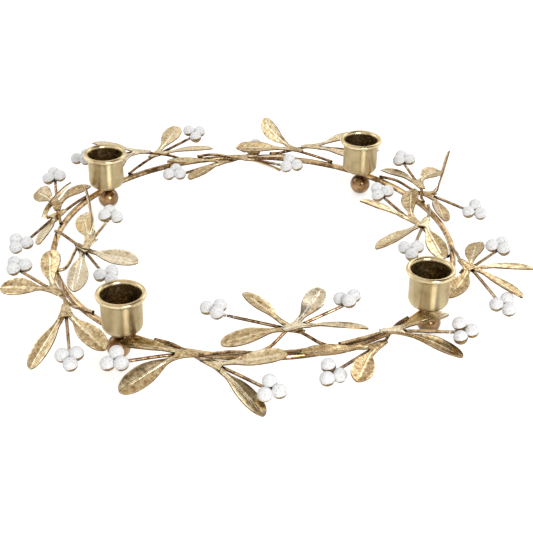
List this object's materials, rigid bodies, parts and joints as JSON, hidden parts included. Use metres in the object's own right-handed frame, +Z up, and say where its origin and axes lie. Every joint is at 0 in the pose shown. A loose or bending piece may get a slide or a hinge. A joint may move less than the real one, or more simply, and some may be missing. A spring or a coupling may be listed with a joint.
{
  "type": "advent wreath candle holder",
  "caption": "Low ring-shaped candle holder in gold-finished metal: a rod ring on ball feet carries open candle cups with rolled rims and crossed mistletoe sprigs with white berries.",
  "frame": {"origin": "middle of the ring, on the table that the feet stand on", "axes": "+Z up along the ring's axis, front of the wreath towards -Y, +X to the right seen from the front"},
  "size_m": [0.3338, 0.3375, 0.0521],
  "materials": {
    "rod_metal": "satin",
    "cup_metal": "satin",
    "foot_metal": "polished",
    "sprig_metal": "antique satin",
    "berry_white": "matt"
  },
  "bodies": {
    "root": {"ring": "rod_metal", "cup_back_right": "cup_metal", "cup_back_left": "cup_metal", "cup_front_left": "cup_metal", "cup_front_right": "cup_metal", "foot_back_right": "foot_metal", "foot_back_left": "foot_metal", "foot_front_left": "foot_metal", "foot_front_right": "foot_metal", "sprig_01": "sprig_metal", "berries_01": "berry_white", "sprig_02": "sprig_metal", "berries_02": "berry_white", "sprig_03": "sprig_metal", "berries_03": "berry_white", "sprig_04": "sprig_metal", "berries_04": "berry_white", "sprig_05": "sprig_metal", "berries_05": "berry_white", "sprig_06": "sprig_metal", "berries_06": "berry_white", "sprig_07": "sprig_metal", "berries_07": "berry_white", "sprig_08": "sprig_metal", "berries_08": "berry_white", "sprig_09": "sprig_metal", "berries_09": "berry_white", "sprig_10": "sprig_metal", "berries_10": "berry_white", "sprig_11": "sprig_metal", "berries_11": "berry_white", "sprig_12": "sprig_metal", "berries_12": "berry_white", "sprig_13": "sprig_metal", "berries_13": "berry_white", "sprig_14": "sprig_metal", "berries_14": "berry_white", "sprig_15": "sprig_metal", "berries_15": "berry_white", "sprig_16": "sprig_metal", "berries_16": "berry_white", "sprig_17": "sprig_metal", "berries_17": "berry_white", "sprig_18": "sprig_metal", "berries_18": "berry_white", "sprig_19": "sprig_metal", "berries_19": "berry_white", "sprig_20": "sprig_metal", "berries_20": "berry_white", "sprig_21": "sprig_metal", "berries_21": "berry_white", "sprig_22": "sprig_metal", "berries_22": "berry_white", "sprig_23": "sprig_metal", "berries_23": "berry_white", "sprig_24": "sprig_metal", "berries_24": "berry_white"}
  },
  "joints": []
}
